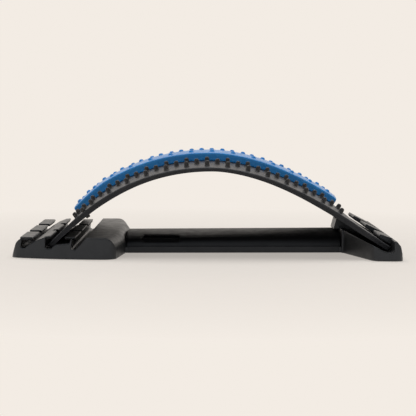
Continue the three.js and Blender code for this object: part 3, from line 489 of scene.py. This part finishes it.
def nub_places():
    for i in range(NUB_COUNT):
        s = NUB_START + NUB_PITCH * i
        for side in (-1, 1):
            yield s, side * NUB_OUTER_ROW
            yield s, side * NUB_INNER_ROW
            if i + 1 < NUB_COUNT:
                yield s + NUB_PITCH / 2, side * NUB_MIDDLE_ROW


def nub_piece(name, s0, s1):
    verts, faces, uvs = [], [], []
    for s, y in nub_places():
        if s0 < s <= s1:
            add_turned(verts, faces, uvs, s, y, camber(s, y), NUB)
    return new_object(name, verts, faces, nub_mat, uvs)


plate_crown = plate_piece("plate_crown", 0.0, SEAM, True, False)
plate_tail = plate_piece("plate_tail", SEAM, LENGTH, False, True)
nubs_crown = nub_piece("nubs_crown", 0.0, SEAM)
nubs_tail = nub_piece("nubs_tail", SEAM, LENGTH)


# Pad
def pad_top(s, y):
    """Height of the pad's top over the arch line; it thins a little down its right flank."""
    near_end = min(s - PAD_START, PAD_END - s)
    fall = 0.0
    if near_end < PAD_EDGE:
        fall = PAD_EDGE - math.sqrt(max(PAD_EDGE**2 - (PAD_EDGE - near_end) ** 2, 0.0))
    along = max((s - LENGTH / 2) / (PAD_END - LENGTH / 2), 0.0)
    rise = PAD_THICKNESS - PAD_THINNING * along + PAD_CROWN * (1 - (y / PAD_HALF) ** 2)
    return camber(s, y) + PAD_LIFT + rise - fall


def pad_section(s):
    """The pad's closed section at arc length s: (y, height over the arch line)."""
    edge_top, edge_low = pad_top(s, PAD_HALF), camber(s, PAD_HALF) + PAD_LIFT
    side = []
    for i in range(PAD_EDGE_STEPS + 1):
        a = math.pi / 2 * i / PAD_EDGE_STEPS
        out, up = PAD_EDGE * math.sin(a), PAD_EDGE * math.cos(a)
        side.append((PAD_HALF - PAD_EDGE + out, edge_top - PAD_EDGE + up))
    depth = edge_top - PAD_EDGE - edge_low
    side += [(PAD_HALF - inset, edge_low + depth * share) for inset, share in PAD_WAIST_SHARES]
    side += [(PAD_HALF - inset, edge_low + rise) for inset, rise in PAD_FOOT]
    inner, low = PAD_HALF - PAD_EDGE, PAD_HALF - PAD_FOOT[-1][0]
    across = [-1 + 2 * i / PAD_STEPS_ACROSS for i in range(1, PAD_STEPS_ACROSS)]
    top = [(inner * k, pad_top(s, inner * k)) for k in across]
    bottom = [(-low * k, camber(s, -low * k) + PAD_LIFT) for k in across]
    return top + side + bottom + [(-y, n) for y, n in reversed(side)]


def pad_piece():
    stations = [PAD_START + PAD_EDGE * share for share in PAD_END_SHARES]
    s0, s1 = PAD_START + PAD_EDGE, PAD_END - PAD_EDGE
    stations += [s0 + (s1 - s0) * i / PAD_STEPS_ALONG for i in range(1, PAD_STEPS_ALONG)]
    stations += [PAD_END - PAD_EDGE * share for share in reversed(PAD_END_SHARES)]
    verts, faces, uvs = swept(stations, pad_section)
    for i in range(BUMP_COUNT):
        s = BUMP_START + NUB_PITCH * i
        for y in (-BUMP_ROW, BUMP_ROW):
            add_turned(verts, faces, uvs, s, y, pad_top(s, y), BUMP)
        if i + 1 < BUMP_COUNT:
            s += NUB_PITCH / 2
            add_turned(verts, faces, uvs, s, 0.0, pad_top(s, 0.0), BUMP)
    return new_object("centre_pad", verts, faces, pad_mat, uvs)


centre_pad = pad_piece()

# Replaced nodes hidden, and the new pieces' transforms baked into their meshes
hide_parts("plate_left", "plate_right")
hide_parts("plate_heel")
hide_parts("pad_left", "pad_right")
for piece in (plate_crown, nubs_crown, centre_pad):
    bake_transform(piece)
for piece in (plate_tail, nubs_tail):
    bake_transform(piece)

# Floor: pale paper with soft shadows round the object and an even glow further out
GLOW = (0.896, 0.838, 0.775, 1)
PAPER_LOW, PAPER_HIGH = (0.86, 0.805, 0.745), (0.875, 0.82, 0.76)
# (distance from the origin in metres, share of the shaded paper)
SHADED_SHARES = [(0.24, 0.56), (0.6, 0.0)]
FLOOR_SIDE, FLOOR_FRONT, FLOOR_BACK = 18.0, -18.0, 5.0
SWEEP_RADIUS, SWEEP_STEPS, WALL_HEIGHT = 1.5, 12, 5.0


def floor_material():
    mat, tree, shader = material("pale_floor")
    coords = object_coords(tree)
    paper = between(tree, noise(tree, coords, 60.0), PAPER_LOW, PAPER_HIGH)
    set_shader(tree, shader, {"Base Color": paper}, {"Roughness": 0.9, "Specular IOR Level": 0.0})
    glow = node(tree, "ShaderNodeEmission", {"Color": GLOW})
    distance = node(tree, "ShaderNodeVectorMath", operation="LENGTH")
    tree.links.new(coords, distance.inputs[0])
    mix = node(tree, "ShaderNodeMixShader")
    tree.links.new(ramp(tree, distance.outputs["Value"], SHADED_SHARES), mix.inputs["Fac"])
    tree.links.new(glow.outputs["Emission"], mix.inputs[1])
    tree.links.new(shader.outputs["BSDF"], mix.inputs[2])
    out = next(n for n in tree.nodes if n.type == "OUTPUT_MATERIAL")
    tree.links.new(mix.outputs["Shader"], out.inputs["Surface"])
    return mat


def sweep():
    """The floor runs back, curves up and ends in a wall."""
    bend = FLOOR_BACK - SWEEP_RADIUS
    line = [(FLOOR_FRONT, 0.0), (bend, 0.0)]
    for i in range(1, SWEEP_STEPS + 1):
        turn = math.pi / 2 * i / SWEEP_STEPS
        y = bend + SWEEP_RADIUS * math.sin(turn)
        line.append((y, SWEEP_RADIUS - SWEEP_RADIUS * math.cos(turn)))
    line.append((FLOOR_BACK, WALL_HEIGHT))
    verts = [(x, y, z) for y, z in line for x in (-FLOOR_SIDE, FLOOR_SIDE)]
    faces = [(2 * i, 2 * i + 1, 2 * i + 3, 2 * i + 2) for i in range(len(line) - 1)]
    return new_object("floor", verts, faces, floor_material())


sweep()

# World: bright round the horizon and darker above
WORLD_COLOUR = (0.86, 0.88, 0.92, 1)
# (height from straight down at 0 to straight up at 1, strength)
WORLD_SHARES = [(0.0, 0.9), (0.5, 0.96), (0.55, 0.85), (0.62, 0.52), (0.7, 0.32),
                (0.8, 0.2), (1.0, 0.18)]
world = bpy.data.worlds.new("studio")
bpy.context.scene.world = world
world.use_nodes = True
world_tree = world.node_tree
background = world_tree.nodes["Background"]
background.inputs["Color"].default_value = WORLD_COLOUR
direction = node(world_tree, "ShaderNodeSeparateXYZ")
world_tree.links.new(object_coords(world_tree), direction.inputs[0])
height = node(world_tree, "ShaderNodeMapRange", {"From Min": -1.0})
world_tree.links.new(direction.outputs["Z"], height.inputs["Value"])
sky = ramp(world_tree, height.outputs["Result"], WORLD_SHARES)
world_tree.links.new(sky, background.inputs["Strength"])


# Lamps
def area(name, location, target, size, power):
    light = bpy.data.lights.new(name, "AREA")
    light.shape = "RECTANGLE"
    light.size, light.size_y = size
    light.energy = power
    obj = bpy.data.objects.new(name, light)
    obj.location = location
    aim = Vector(target) - Vector(location)
    obj.rotation_euler = aim.to_track_quat("-Z", "Y").to_euler()
    bpy.context.scene.collection.objects.link(obj)


area("overhead", (0.0, 0.15, 1.5), (0, 0, 0), (1.8, 1.2), 17.0)
area("front_left", (-1.0, -1.2, 0.9), (0, 0, 0.03), (0.9, 0.7), 1.0)

# Camera, fitted to the photo: its focal length is in pixels of the photo's width
PHOTO_WIDTH, FOCAL_LENGTH, SENSOR_WIDTH = 416, 1395.85, 36.0
CAMERA_PLACE = (-0.0035, -1.5144, 0.1548)
PITCH, YAW, ROLL = math.radians(4.189), math.radians(0.221), 0.0060
camera_data = bpy.data.cameras.new("photo_camera")
camera_data.sensor_width = SENSOR_WIDTH
camera_data.lens = FOCAL_LENGTH / PHOTO_WIDTH * SENSOR_WIDTH
camera_data.clip_start, camera_data.clip_end = 0.05, 50.0
camera = bpy.data.objects.new("photo_camera", camera_data)
flat = math.cos(PITCH)
ahead = Vector((math.sin(YAW) * flat, math.cos(YAW) * flat, -math.sin(PITCH)))
level = ahead.cross(Vector((0, 0, 1))).normalized()
upright = level.cross(ahead)
right = level * math.cos(ROLL) + upright * math.sin(ROLL)
up = upright * math.cos(ROLL) - level * math.sin(ROLL)
turn = Matrix((right, up, -ahead)).transposed().to_4x4()
camera.matrix_world = Matrix.Translation(CAMERA_PLACE) @ turn
bpy.context.scene.collection.objects.link(camera)
bpy.context.scene.camera = camera
bpy.context.scene.view_settings.view_transform = "Standard"
